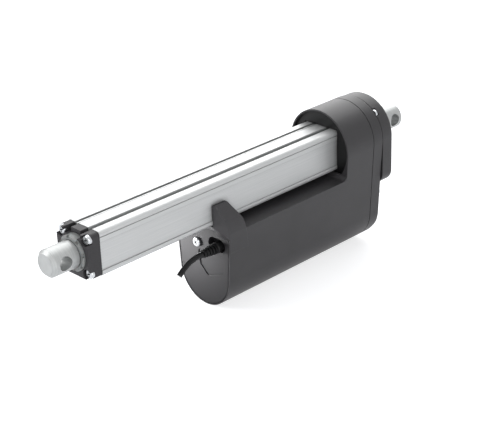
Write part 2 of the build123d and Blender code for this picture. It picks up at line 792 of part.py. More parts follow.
# Motor can: steel cup with a neck for the rear bearing
neck_r = 9.0
neck_x = can_rear_x - 6.0
motor_race_r = 8.0
motor_inner_r = 4.8
motor_relief_r = 5.4
with BuildPart() as motor_can:
    with BuildSketch(yz(can_rear_x)):
        with Locations((0, motor_z)):
            Circle(can_r)
    extrude(amount=can_length)
    with BuildSketch(yz(can_rear_x + can_t)):
        with Locations((0, motor_z)):
            Circle(can_r - can_t)
    extrude(amount=can_length, mode=Mode.SUBTRACT)
    with BuildSketch(yz(neck_x)):
        with Locations((0, motor_z)):
            Circle(neck_r)
    extrude(amount=6.0)
    with BuildSketch(yz(neck_x + 0.8)):
        with Locations((0, motor_z)):
            Circle(motor_race_r)
    extrude(amount=20.0, mode=Mode.SUBTRACT)
    with BuildSketch(yz(neck_x)):
        with Locations((0, motor_z)):
            Circle(motor_relief_r)
    extrude(amount=20.0, mode=Mode.SUBTRACT)
    with BuildSketch(yz(can_rear_x)):
        with Locations((-motor_screw_y, motor_z), (motor_screw_y, motor_z)):
            Circle(screw_r)
    extrude(amount=can_t, mode=Mode.SUBTRACT)
motor_can.part.label = "motor_can"
export_step(motor_can.part, "parts/motor_can.step")

# Motor screws from the gear chamber into the can
with BuildPart() as motor_screws:
    with BuildSketch(yz(bulkhead_x - 2.6)):
        with Locations((-motor_screw_y, motor_z), (motor_screw_y, motor_z)):
            Circle(3.5)
            RegularPolygon(1.7, 6, mode=Mode.SUBTRACT)
    extrude(amount=2.6)
    with BuildSketch(yz(bulkhead_x)):
        with Locations((-motor_screw_y, motor_z), (motor_screw_y, motor_z)):
            Circle(screw_r)
    extrude(amount=can_rear_x + can_t - bulkhead_x)
motor_screws.part.label = "motor_screws"
export_step(motor_screws.part, "parts/motor_screws.step")

# Two magnet arcs on the can's inside
with BuildPart() as motor_magnets:
    with BuildSketch(yz(can_rear_x + 12.0)):
        with Locations((0, motor_z)):
            Circle(can_r - can_t)
            Circle(magnet_inner_r, mode=Mode.SUBTRACT)
            Rectangle(16.0, 3 * can_r, mode=Mode.SUBTRACT)
    extrude(amount=can_length - 34.0)
motor_magnets.part.label = "motor_magnets"
export_step(motor_magnets.part, "parts/motor_magnets.step")

# Armature core with twelve winding slots
core_rear_x = can_rear_x + 18.0
core_length = can_length - 46.0
armature_slots = 12
with BuildPart() as armature_core:
    with BuildSketch(yz(core_rear_x)):
        with Locations((0, motor_z)):
            Circle(core_r)
            Circle(shaft_r, mode=Mode.SUBTRACT)
            with PolarLocations(core_r - 3.0, armature_slots):
                Rectangle(7.0, 2.8, mode=Mode.SUBTRACT)
    extrude(amount=core_length)
armature_core.part.label = "armature_core"
export_step(armature_core.part, "parts/armature_core.step")

# Windings: bars in the slots and a coil head at each end
with BuildPart() as armature_windings:
    with BuildSketch(yz(core_rear_x)):
        with Locations((0, motor_z)):
            with PolarLocations(core_r - 3.9, armature_slots):
                Rectangle(5.2, 2.6)
    extrude(amount=core_length)
    for x in (core_rear_x - coil_head, core_rear_x + core_length):
        with BuildSketch(yz(x)):
            with Locations((0, motor_z)):
                Circle(core_r - 1.3)
                Circle(7.0, mode=Mode.SUBTRACT)
        extrude(amount=coil_head)
armature_windings.part.label = "armature_windings"
export_step(armature_windings.part, "parts/armature_windings.step")

# Commutator with twelve segments
commutator_x = core_rear_x + core_length + coil_head + 2.0
commutator_w = 12.0
commutator_r = 9.0
with BuildPart() as commutator:
    with BuildSketch(yz(commutator_x)):
        with Locations((0, motor_z)):
            Circle(commutator_r)
            Circle(shaft_r, mode=Mode.SUBTRACT)
            with PolarLocations(commutator_r, armature_slots):
                Rectangle(3.0, 0.5, mode=Mode.SUBTRACT)
    extrude(amount=commutator_w)
commutator.part.label = "commutator"
export_step(commutator.part, "parts/commutator.step")

# Motor shaft
shaft_rear_x = 74.5
tail_bearing_x = can_rear_x + can_length
with BuildPart() as motor_shaft:
    with BuildSketch(yz(shaft_rear_x)):
        with Locations((0, motor_z)):
            Circle(shaft_r)
    extrude(amount=tail_bearing_x + 6.0 - shaft_rear_x)
motor_shaft.part.label = "motor_shaft"
export_step(motor_shaft.part, "parts/motor_shaft.step")

# Motor pinion
with BuildPart() as motor_pinion:
    with BuildSketch(yz(big_wheel_x - 0.5)):
        with Locations((0, motor_z)):
            Polygon(*gear_points(pinion_teeth, 90.0 + 180.0 / pinion_teeth), align=None)
            Circle(shaft_r, mode=Mode.SUBTRACT)
    extrude(amount=big_wheel_w + 1.0)
motor_pinion.part.label = "motor_pinion"
export_step(motor_pinion.part, "parts/motor_pinion.step")

# Outer races of the two motor bearings
motor_bearing_w = 5.0
with BuildPart() as motor_bearing_races:
    with Locations((0, 0, motor_z)):
        add(sealed_bearing_outer(neck_x + 0.8, motor_race_r, motor_bearing_w, motor_inner_r).part)
        add(sealed_bearing_outer(tail_bearing_x, motor_race_r, motor_bearing_w, motor_inner_r).part)
motor_bearing_races.part.label = "motor_bearing_races"
export_step(motor_bearing_races.part, "parts/motor_bearing_races.step")

# Inner races on the motor shaft
with BuildPart() as motor_inner_races:
    for x in (neck_x + 0.8, tail_bearing_x):
        with BuildSketch(yz(x)):
            with Locations((0, motor_z)):
                Circle(motor_inner_r)
                Circle(shaft_r, mode=Mode.SUBTRACT)
        extrude(amount=motor_bearing_w)
motor_inner_races.part.label = "motor_inner_races"
export_step(motor_inner_races.part, "parts/motor_inner_races.step")

# End bell: closes the can, seats the tail bearing and carries two brush boxes
bell_t = 8.0
brush_w = 6.0
with BuildPart() as motor_end_bell:
    with BuildSketch(yz(tail_bearing_x)):
        with Locations((0, motor_z)):
            Circle(can_r)
    extrude(amount=bell_t)
    with BuildSketch(yz(tail_bearing_x)):
        with Locations((0, motor_z)):
            Circle(motor_race_r)
    extrude(amount=motor_bearing_w, mode=Mode.SUBTRACT)
    with BuildSketch(yz(tail_bearing_x)):
        with Locations((0, motor_z)):
            Circle(motor_relief_r)
    extrude(amount=bell_t, mode=Mode.SUBTRACT)
    with BuildSketch(yz(commutator_x + 1.0)):
        with Locations((0, motor_z)):
            Rectangle(2 * brush_box_y, 10.0)
            Circle(commutator_r + 1.5, mode=Mode.SUBTRACT)
    extrude(amount=tail_bearing_x - commutator_x - 1.0)
    with BuildSketch(yz(commutator_x + 2.0)):
        with Locations((0, motor_z)):
            Rectangle(2 * brush_box_y - 3.6, brush_w)
    extrude(amount=brush_w + 2.0, mode=Mode.SUBTRACT)
motor_end_bell.part.label = "motor_end_bell"
export_step(motor_end_bell.part, "parts/motor_end_bell.step")

# Two carbon brushes resting on the commutator
with BuildPart() as motor_brushes:
    with BuildSketch(yz(commutator_x + 2.0)):
        with Locations((0, motor_z)):
            Rectangle(2 * brush_box_y - 8.0, brush_w)
            Circle(commutator_r + running_gap, mode=Mode.SUBTRACT)
    extrude(amount=brush_w + 2.0)
motor_brushes.part.label = "motor_brushes"
export_step(motor_brushes.part, "parts/motor_brushes.step")

# Motor cradle: holds the can inside the shell
with BuildPart() as motor_cradle:
    with BuildSketch(yz(can_rear_x + can_length - 40.0)):
        add(hull_section(wall))
        with Locations((0, motor_z + 12.0)):
            Rectangle(2 * upper_r, overall_height, align=(Align.CENTER, Align.MIN), mode=Mode.SUBTRACT)
        with Locations((0, motor_z)):
            Circle(can_r + running_gap, mode=Mode.SUBTRACT)
    extrude(amount=30.0)
motor_cradle.part.label = "motor_cradle"
export_step(motor_cradle.part, "parts/motor_cradle.step")

# Control board under the shell's roof
with BuildPart() as control_board:
    with BuildSketch(Plane.XY.offset(board_top_z)):
        with Locations((board_rear_x + board_length / 2, 0)):
            RectangleRounded(board_length, board_width, 2.0)
        with Locations(*board_posts):
            Circle(board_screw_r, mode=Mode.SUBTRACT)
    extrude(amount=-board_t)
control_board.part.label = "control_board"
export_step(control_board.part, "parts/control_board.step")

# Board screws up into the roof's posts
with BuildPart() as board_screws:
    with BuildSketch(Plane.XY.offset(board_top_z - board_t)):
        with Locations(*board_posts):
            Circle(2.8)
    extrude(amount=-1.6)
    with BuildSketch(Plane.XY.offset(board_top_z - board_t)):
        with Locations(*board_posts):
            Circle(board_screw_r)
    extrude(amount=board_t + 5.0)
board_screws.part.label = "board_screws"
export_step(board_screws.part, "parts/board_screws.step")

# Relays, capacitors and terminal block on the board
relay_y = 8.0
relay_x = board_rear_x + 34.0
capacitor_x = board_rear_x + board_length - 46.0
with BuildPart() as board_parts:
    with BuildSketch(Plane.XY.offset(board_top_z)):
        with Locations((relay_x, -relay_y), (relay_x, relay_y)):
            Rectangle(19.0, 14.0)
        with Locations((relay_x + 30.0, 0)):
            Rectangle(12.0, 18.0)
        with Locations((capacitor_x, -relay_y), (capacitor_x, relay_y)):
            Circle(4.0)
        with Locations((capacitor_x + 24.0, 6.0)):
            Rectangle(12.0, 20.0)
    extrude(amount=board_post_h - 1.3)
board_parts.part.label = "board_parts"
export_step(board_parts.part, "parts/board_parts.step")

# Motor end cap: inset plate at the shell's mouth with the cable socket and a shallow panel
socket_depth = 7.0
socket_w = 21.6
socket_h = 13.2
socket_y = 18.0
socket_z = -42.6
panel_deep = 0.9
with BuildPart() as motor_end_cap:
    with BuildSketch(yz(motor_front_x - end_cap_t)):
        add(hull_section(wall + loose_gap))
    extrude(amount=end_cap_t - end_cap_flange_t)
    with BuildSketch(yz(motor_front_x - end_cap_flange_t)):
        add(hull_section(shell_lip + loose_gap))
    extrude(amount=end_cap_flange_t)
    fillet(motor_end_cap.faces().sort_by(Axis.X)[-1].edges(), 1.5)
    with BuildSketch(yz(motor_front_x - end_cap_t)):
        with Locations((0, roof_low_z - loose_gap)):
            Rectangle(2 * upper_r, 2 * upper_r, align=(Align.CENTER, Align.MIN))
    extrude(amount=end_cap_t, mode=Mode.SUBTRACT)
    with BuildSketch(yz(motor_front_x - socket_depth)):
        with Locations((socket_y, socket_z)):
            SlotOverall(socket_w, socket_h)
    extrude(amount=socket_depth, mode=Mode.SUBTRACT)
    with BuildSketch(yz(motor_front_x - panel_deep)):
        panel = Polygon(
            (-8.0, -54.0),
            (-5.3, -70.0),
            (4.3, -79.0),
            (26.0, -71.0),
            (27.0, -54.0),
            align=None,
        )
        fillet(panel.vertices(), 3.0)
    extrude(amount=panel_deep, mode=Mode.SUBTRACT)
    with BuildSketch(yz(motor_front_x - end_cap_t)):
        with Locations((gland_y, gland_z)):
            Circle(cable_d / 2)
        with Locations((end_screw_y, end_screw_z)):
            Circle(screw_r)
    extrude(amount=end_cap_t, mode=Mode.SUBTRACT)
motor_end_cap.part.label = "motor_end_cap"
export_step(motor_end_cap.part, "parts/motor_end_cap.step")

# End cap screw
end_cap_screw = pan_screws([(end_screw_y, end_screw_z)], motor_front_x, end_cap_t + 4.0, head_sign=1)
end_cap_screw.part.label = "end_cap_screw"
export_step(end_cap_screw.part, "parts/end_cap_screw.step")

# Cable gland: round plug in the end cap's socket
gland_r = 5.6
with BuildPart() as cable_gland:
    with BuildSketch(yz(motor_front_x - socket_depth)):
        with Locations((gland_y, gland_z)):
            Circle(gland_r)
    extrude(amount=gland_front_x - motor_front_x + socket_depth)
    chamfer(cable_gland.faces().sort_by(Axis.X)[-1].edges(), 0.8)
cable_gland.part.label = "cable_gland"
export_step(cable_gland.part, "parts/cable_gland.step")

# Strain relief: tapered ribbed sleeve
relief_ribs = 5
relief_pitch = (gland_tip_x - gland_front_x) / relief_ribs
with BuildPart() as strain_relief:
    for rib in range(relief_ribs):
        rib_x = gland_front_x + rib * relief_pitch
        rib_r = gland_r - 0.2 - 0.4 * rib
        with BuildSketch(yz(rib_x)):
            with Locations((gland_y, gland_z)):
                Circle(cable_d / 2 + 0.6)
        extrude(amount=relief_pitch)
        with BuildSketch(yz(rib_x + relief_pitch * 0.42)):
            with Locations((gland_y, gland_z)):
                Circle(rib_r)
        extrude(amount=relief_pitch * 0.58)
strain_relief.part.label = "strain_relief"
export_step(strain_relief.part, "parts/strain_relief.step")

# Cable from the strain relief to its cut end, straight runs joined by tangent arcs
cable_runs = (10.5, 12.0, 10.5)
cable_turn = 20.0
cable_points = [(gland_tip_x, gland_y, gland_z)]
for index, run in enumerate(cable_runs):
    down = math.radians(cable_turn * index)
    x, y, z = cable_points[-1]
    cable_points.append((x + run * math.cos(down), y, z - run * math.sin(down)))
cable_radii = [
    0.45 * min(cable_runs[i], cable_runs[i + 1]) / math.tan(math.radians(cable_turn) / 2)
    for i in range(len(cable_runs) - 1)
]
print("cable bend radii", [round(r, 1) for r in cable_radii], "diameter", cable_d)
with BuildPart() as cable:
    with BuildLine() as cable_line:
        FilletPolyline(*cable_points, radius=cable_radii)
    with BuildSketch(Plane(origin=cable_points[0], z_dir=(1, 0, 0))):
        Circle(cable_d / 2)
    sweep()
cable.part.label = "cable"
export_step(cable.part, "parts/cable.step")
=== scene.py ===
import math

import bmesh
import bpy
from mathutils import Matrix, Vector


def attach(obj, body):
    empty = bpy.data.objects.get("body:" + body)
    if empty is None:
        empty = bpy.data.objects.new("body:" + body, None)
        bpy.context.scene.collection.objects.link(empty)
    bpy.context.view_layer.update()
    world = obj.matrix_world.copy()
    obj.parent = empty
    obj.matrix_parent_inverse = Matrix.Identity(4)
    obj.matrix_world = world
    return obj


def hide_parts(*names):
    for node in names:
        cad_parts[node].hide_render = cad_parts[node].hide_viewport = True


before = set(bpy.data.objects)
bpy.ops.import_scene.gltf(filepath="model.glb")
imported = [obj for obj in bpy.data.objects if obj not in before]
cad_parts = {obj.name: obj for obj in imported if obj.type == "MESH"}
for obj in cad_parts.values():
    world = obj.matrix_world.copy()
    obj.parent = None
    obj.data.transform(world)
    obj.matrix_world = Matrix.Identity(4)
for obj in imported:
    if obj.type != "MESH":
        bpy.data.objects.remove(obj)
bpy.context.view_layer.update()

# Sizes in metres, in the actuator's own frame: +X is the way the rod extends, +Z is up
MM = 0.001
weld_distance = 0.02 * MM
cut_tolerance = 0.001 * MM
housing_low_z = -110.0 * MM

# Spindle: trapezoidal thread between a shoulder and the tip, and a plain journal behind
spindle_lead = 4.0 * MM
spindle_root_r = 6.8 * MM
spindle_crest_r = 8.0 * MM
spindle_shoulder_x = 92.0 * MM
spindle_tip_x = 372.0 * MM
journal_r = 6.0 * MM
journal_rear_x = 45.5 * MM
plain_end = 1.2 * spindle_lead
tip_chamfer = 1.0 * MM
thread_steps = 36

# Rubber sheet with a lip in the collar's pocket, its black partly painted shade for the pocket
seal_rear_x = 98.55 * MM
seal_thickness = 0.5 * MM
seal_r = 35.9 * MM
seal_lip_r = 36.3 * MM
seal_lip_x = 101.6 * MM
seal_lip_step = 0.1 * MM
seal_hole = 42.6 * MM
seal_low_z = -23.0 * MM
seal_sides = 64

# Cable route, the centreline that the construction source gives it: runs in millimetres, turns in degrees
cable_d = 5.2 * MM
gland_y = 21.0 * MM
gland_z = -43.4 * MM
relief_tip_x = 282.5 * MM
cable_runs = (10.5, 12.0, 10.5)
cable_turn = 20.0

# Floor and light
part_middle = (0.2, 0.0, -0.03)
floor_size = 30.0
floor_drop = 0.05 * MM
floor_glow = 0.69
studio_fill = 0.30
plain_white = (1.0, 1.0, 1.0, 1.0)
fill_white = (0.97, 0.98, 1.0, 1.0)

# Camera, fitted to the photograph: three angles, then metres from the front of the tube's cap
cap_front = (0.411, 0.0, 0.0)
camera_turn = math.radians(135.70)
camera_height = math.radians(25.08)
camera_tilt = math.radians(-2.0)
camera_distance = 1.1847
camera_right = 0.1509
camera_up = 0.02964
sensor_width = 36.0
lens = 100.8


# Colour and node helpers

def linear(colour):
    """Linear RGBA of an sRGB hex colour."""
    parts = [int(colour[i:i + 2], 16) / 255 for i in (1, 3, 5)]
    return (*[c / 12.92 if c <= 0.04045 else ((c + 0.055) / 1.055) ** 2.4 for c in parts], 1.0)


def add_node(tree, kind, settings=None, inputs=None, links=None):
    """A node with its settings, its input values and its links as socket: (node, output)."""
    made = tree.nodes.new(kind)
    for key, value in (settings or {}).items():
        setattr(made, key, value)
    for key, value in (inputs or {}).items():
        made.inputs[key].default_value = value
    for key, (source, output) in (links or {}).items():
        tree.links.new(source.outputs[output], made.inputs[key])
    return made


def material(name, colour, roughness, metallic=0.0):
    """A new material with its shader set; returns the material, its tree and the shader."""
    made = bpy.data.materials.new(name)
    made.use_nodes = True
    tree = made.node_tree
    tree.nodes.clear()
    shader = add_node(tree, "ShaderNodeBsdfPrincipled", inputs={
        "Base Color": linear(colour),
        "Roughness": roughness,
        "Metallic": metallic,
    })
    add_node(tree, "ShaderNodeOutputMaterial", links={"Surface": (shader, "BSDF")})
    return made, tree, shader


def object_pattern(tree, kind, scale_mm, stretch=(1.0, 1.0, 1.0), **inputs):
    """A texture on object coordinates whose cell is scale_mm across, stretched along an axis where asked."""
    place = add_node(tree, "ShaderNodeTexCoord")
    mapping = add_node(tree, "ShaderNodeMapping", inputs={"Scale": stretch},
                       links={"Vector": (place, "Object")})
    return add_node(tree, kind, inputs={"Scale": 1.0 / (scale_mm * MM), **inputs},
                    links={"Vector": (mapping, "Vector")})


def roughness_from(tree, shader, pattern, low, high, output="Fac"):
    """The pattern moves the shader's roughness between two values."""
    spread = add_node(tree, "ShaderNodeMapRange", inputs={"To Min": low, "To Max": high},
                      links={"Value": (pattern, output)})
    tree.links.new(spread.outputs["Result"], shader.inputs["Roughness"])


def colour_from(tree, shader, pattern, low, high, output="Fac"):
    """The middle of the pattern's range moves the shader's colour between two hex colours."""
    ramp = add_node(tree, "ShaderNodeValToRGB", links={"Fac": (pattern, output)})
    for stop, position, colour in zip(ramp.color_ramp.elements, (0.3, 0.7), (low, high)):
        stop.position = position
        stop.color = linear(colour)
    tree.links.new(ramp.outputs["Color"], shader.inputs["Base Color"])


def painted_corner_shade(tree, shader, reach_mm, share):
    """Painted shade: corners and gaps within the reach keep a share of the colour, darkened where shade would
    fall.
    """
    colour = shader.inputs["Base Color"]
    corner = add_node(tree, "ShaderNodeAmbientOcclusion", {"samples": 8}, {"Distance": reach_mm * MM})
    kept = add_node(tree, "ShaderNodeMapRange", inputs={"To Min": share}, links={"Value": (corner, "AO")})
    shade = add_node(tree, "ShaderNodeMix", {"data_type": "RGBA", "blend_type": "MULTIPLY"}, {"Factor": 1.0},
                     {"B": (kept, "Result")})
    tree.links.new(colour.links[0].from_socket, shade.inputs["A"])
    tree.links.new(shade.outputs["Result"], colour)


def relief_from(tree, shader, pattern, depth_mm, strength=1.0, output="Fac", edge_mm=0.0):
    """The pattern as a bump of a real depth, over edges rounded by edge_mm."""
    bump = add_node(tree, "ShaderNodeBump", inputs={"Strength": strength, "Distance": depth_mm * MM},
                    links={"Height": (pattern, output)})
    if edge_mm:
        edge = add_node(tree, "ShaderNodeBevel", {"samples": 6}, {"Radius": edge_mm * MM})
        tree.links.new(edge.outputs["Normal"], bump.inputs["Normal"])
    tree.links.new(bump.outputs["Normal"], shader.inputs["Normal"])


# Materials

def powder_coated_casting():
    # Die cast aluminium under dark grey powder coat: satin, with the coat's fine orange peel
    made, tree, shader = material("powder_coated_casting", "#39383a", roughness=0.46)
    shader.inputs["Specular IOR Level"].default_value = 0.38
    grain = object_pattern(tree, "ShaderNodeTexNoise", scale_mm=0.9, Detail=4.0, Roughness=0.6)
    patches = object_pattern(tree, "ShaderNodeTexNoise", scale_mm=38.0, Detail=2.0)
    colour_from(tree, shader, patches, "#363537", "#3c3b3d")
    roughness_from(tree, shader, grain, low=0.40, high=0.52)
    # Painted shade: the coat's colour darkens to a quarter in corners and gaps within 6 mm
    painted_corner_shade(tree, shader, reach_mm=6.0, share=0.25)
    relief_from(tree, shader, grain, depth_mm=0.02, strength=0.5, edge_mm=0.9)
    return made


def anodised_extrusion():
    # Extruded aluminium, satin anodised: faint die lines along the tube, drawn 0.7 mm apart so that they show
    made, tree, shader = material("anodised_extrusion", "#c8cac9", roughness=0.46, metallic=0.4)
    lines = object_pattern(tree, "ShaderNodeTexNoise", scale_mm=0.7, stretch=(0.012, 1.0, 1.0),
                           Detail=3.0, Roughness=0.7)
    colour_from(tree, shader, lines, "#c1c3c3", "#cecfcf")
    roughness_from(tree, shader, lines, low=0.42, high=0.56)
    # Painted shade: the colour darkens to a fifth in corners and gaps within 6 mm, as in the slots and next
    # to the collar
    painted_corner_shade(tree, shader, reach_mm=6.0, share=0.2)
    relief_from(tree, shader, lines, depth_mm=0.01, strength=0.35, edge_mm=0.3)
    return made


def grained_polyamide(name, dark, light, gloss, corner_mm, corner_share):
    # Glass filled polyamide from a spark eroded mould: dull, its grain drawn 0.8 mm across so that it shows
    made, tree, shader = material(name, dark, roughness=0.55)
    shader.inputs["Specular IOR Level"].default_value = gloss
    grain = object_pattern(tree, "ShaderNodeTexNoise", scale_mm=0.8, Detail=5.0, Roughness=0.7)
    colour_from(tree, shader, grain, dark, light)
    roughness_from(tree, shader, grain, low=0.46, high=0.62)
    # Painted shade: the colour darkens in corners and gaps within corner_mm, down to corner_share of itself
    painted_corner_shade(tree, shader, corner_mm, corner_share)
    relief_from(tree, shader, grain, depth_mm=0.05, strength=0.6, edge_mm=0.5)
    return made


def turned_steel():
    # Free cutting steel, turned and dull nickel plated: tool rings, drawn 0.5 mm apart so that they show
    made, tree, shader = material("turned_steel", "#b2b4b3", roughness=0.50, metallic=0.6)
    rings = object_pattern(tree, "ShaderNodeTexNoise", scale_mm=0.5, stretch=(1.0, 0.03, 0.03), Detail=2.0)
    colour_from(tree, shader, rings, "#aaacac", "#babcbb")
    # Painted shade: the colour darkens to under half in corners and gaps within 5 mm
    painted_corner_shade(tree, shader, reach_mm=5.0, share=0.45)
    roughness_from(tree, shader, rings, low=0.38, high=0.52)
    relief_from(tree, shader, rings, depth_mm=0.008, strength=0.4, edge_mm=0.35)
    return made


def zinc_plated_steel():
    # Zinc plated fastener steel: bright, a little mottled, with painted shade in its recesses
    made, tree, shader = material("zinc_plated_steel", "#c6c8cb", roughness=0.26, metallic=1.0)
    mottle = object_pattern(tree, "ShaderNodeTexNoise", scale_mm=2.4, Detail=3.0)
    colour_from(tree, shader, mottle, "#bcbec1", "#cdd0d2")
    roughness_from(tree, shader, mottle, low=0.20, high=0.34)
    # Painted shade: recesses and gaps within 2.4 mm go near black
    painted_corner_shade(tree, shader, reach_mm=2.4, share=0.02)
    relief_from(tree, shader, mottle, depth_mm=0.006, strength=0.3, edge_mm=0.25)
    return made


def ground_steel():
    # Ground bearing steel: bright rings, drawn 0.3 mm apart so that they show
    made, tree, shader = material("ground_steel", "#b4b6b8", roughness=0.22, metallic=1.0)
    rings = object_pattern(tree, "ShaderNodeTexNoise", scale_mm=0.3, stretch=(1.0, 0.04, 0.04), Detail=2.0)
    roughness_from(tree, shader, rings, low=0.16, high=0.30)
    relief_from(tree, shader, rings, depth_mm=0.004, strength=0.3, edge_mm=0.2)
    return made


def hard_chrome():
    # Ground and hard chromed rod: near mirror, with faint rings drawn 0.4 mm apart so that they show
    made, tree, shader = material("hard_chrome", "#d3d5d8", roughness=0.14, metallic=1.0)
    rings = object_pattern(tree, "ShaderNodeTexNoise", scale_mm=0.4, stretch=(1.0, 0.03, 0.03), Detail=2.0)
    roughness_from(tree, shader, rings, low=0.10, high=0.20)
    relief_from(tree, shader, rings, depth_mm=0.002, strength=0.3, edge_mm=0.2)
    return made


def moulded_rubber():
    # Moulded nitrile rubber: near black and dull, with a faint bloom
    made, tree, shader = material("moulded_rubber", "#121213", roughness=0.42)
    shader.inputs["Specular IOR Level"].default_value = 0.25
    bloom = object_pattern(tree, "ShaderNodeTexNoise", scale_mm=1.6, Detail=4.0)
    colour_from(tree, shader, bloom, "#0b0b0c", "#131314")
    roughness_from(tree, shader, bloom, low=0.36, high=0.50)
    relief_from(tree, shader, bloom, depth_mm=0.02, strength=0.4, edge_mm=0.3)
    return made


def cable_jacket():
    # Extruded PVC jacket: black, glossier than rubber, with faint lines drawn 1.2 mm apart so that they show
    made, tree, shader = material("cable_jacket", "#0a0a0b", roughness=0.18)
    shader.inputs["Specular IOR Level"].default_value = 0.25
    lines = object_pattern(tree, "ShaderNodeTexNoise", scale_mm=1.2, stretch=(0.2, 1.0, 1.0), Detail=2.0)
    roughness_from(tree, shader, lines, low=0.12, high=0.24)
    relief_from(tree, shader, lines, depth_mm=0.01, strength=0.2)
    return made


def pale_acetal(name, colour, dark, light):
    # Machined acetal: waxy, with tool rings drawn 0.5 mm apart so that they show
    made, tree, shader = material(name, colour, roughness=0.42)
    shader.inputs["Subsurface Weight"].default_value = 0.05
    shader.inputs["Subsurface Scale"].default_value = 1.0 * MM
    rings = object_pattern(tree, "ShaderNodeTexNoise", scale_mm=0.5, stretch=(1.0, 0.05, 0.05), Detail=2.0)
    colour_from(tree, shader, rings, dark, light)
    roughness_from(tree, shader, rings, low=0.34, high=0.50)
    relief_from(tree, shader, rings, depth_mm=0.01, strength=0.3, edge_mm=0.3)
    return made


def sintered_steel():
    # Sintered gear steel, greased: grey and half shiny, with pores drawn 0.6 mm apart so that they show
    made, tree, shader = material("sintered_steel", "#8f8c86", roughness=0.38, metallic=0.9)
    pores = object_pattern(tree, "ShaderNodeTexVoronoi", scale_mm=0.6)
    colour_from(tree, shader, pores, "#7d7a74", "#97948e", output="Distance")
    roughness_from(tree, shader, pores, low=0.30, high=0.48, output="Distance")
    relief_from(tree, shader, pores, depth_mm=0.01, strength=0.4, output="Distance", edge_mm=0.15)
    return made


def lamination_steel():
    # Stacked electrical sheet: edges a third of a millimetre apart, three waves to a cell of one millimetre
    made, tree, shader = material("lamination_steel", "#6c6d70", roughness=0.45, metallic=0.8)
    edges = object_pattern(tree, "ShaderNodeTexWave", scale_mm=1.0, Distortion=0.0)
    edges.bands_direction = "X"
    colour_from(tree, shader, edges, "#55565a", "#7d7e82")
    relief_from(tree, shader, edges, depth_mm=0.03, strength=0.6)
    return made


def enamelled_copper():
    # Wound copper wire under enamel: strands half a millimetre thick, three waves to a cell
    made, tree, shader = material("enamelled_copper", "#a9572a", roughness=0.32, metallic=0.7)
    strands = object_pattern(tree, "ShaderNodeTexWave", scale_mm=1.6, stretch=(0.1, 1.0, 1.0),
                             Distortion=3.0, Detail=2.0)
    colour_from(tree, shader, strands, "#8d4320", "#c26a36")
    relief_from(tree, shader, strands, depth_mm=0.15, strength=0.7)
    return made


def turned_copper():
    # Turned copper segments: darker rings where the brushes run
    made, tree, shader = material("turned_copper", "#b3703c", roughness=0.30, metallic=1.0)
    rings = object_pattern(tree, "ShaderNodeTexNoise", scale_mm=0.6, stretch=(1.0, 0.05, 0.05), Detail=2.0)
    colour_from(tree, shader, rings, "#8f5a34", "#c48350")
    roughness_from(tree, shader, rings, low=0.22, high=0.40)
    return made


def pressed_powder(name, dark, light):
    # Pressed and fired powder: dull, with pores drawn 0.5 mm across so that they show
    made, tree, shader = material(name, dark, roughness=0.62)
    pores = object_pattern(tree, "ShaderNodeTexNoise", scale_mm=0.5, Detail=5.0)
    colour_from(tree, shader, pores, dark, light)
    relief_from(tree, shader, pores, depth_mm=0.02, strength=0.5, edge_mm=0.3)
    return made


def board_laminate():
    # Glass laminate under green solder mask: copper tracks show as a lighter grid
    made, tree, shader = material("board_laminate", "#1c5a34", roughness=0.30)
    tracks = object_pattern(tree, "ShaderNodeTexBrick", scale_mm=3.2)
    tracks.inputs["Color1"].default_value = linear("#1c5a34")
    tracks.inputs["Color2"].default_value = linear("#20633a")
    tracks.inputs["Mortar"].default_value = linear("#2e7a4c")
    tree.links.new(tracks.outputs["Color"], shader.inputs["Base Color"])
    relief_from(tree, shader, tracks, depth_mm=0.03, strength=0.4)
    return made


casting = powder_coated_casting()
extrusion = anodised_extrusion()
polyamide = grained_polyamide("grained_polyamide", "#343335", "#403f41",
                              gloss=0.28, corner_mm=5.0, corner_share=0.25)
# A darker copy of the grey polyamide for the motor end cap: its darker colour is painted shade
painted_shade_polyamide = grained_polyamide("painted_shade_polyamide", "#1c1b1d", "#262527",
                                   gloss=0.28, corner_mm=2.5, corner_share=0.5)
eye_steel = turned_steel()
zinc = zinc_plated_steel()
bearing_steel = ground_steel()
chrome = hard_chrome()
rubber = moulded_rubber()
jacket = cable_jacket()
ring_acetal = pale_acetal("pale_grey_acetal", "#828483", "#7a7c7b", "#8a8c8b")
nut_acetal = pale_acetal("natural_acetal", "#d9d8cf", "#d2d1c8", "#dfded6")
gear_steel = sintered_steel()
sheet_stack = lamination_steel()
winding = enamelled_copper()
segment_copper = turned_copper()
ferrite = pressed_powder("sintered_ferrite", "#2c2b2d", "#3a393b")
carbon = pressed_powder("pressed_carbon", "#1d1d1e", "#2b2b2c")
board = board_laminate()

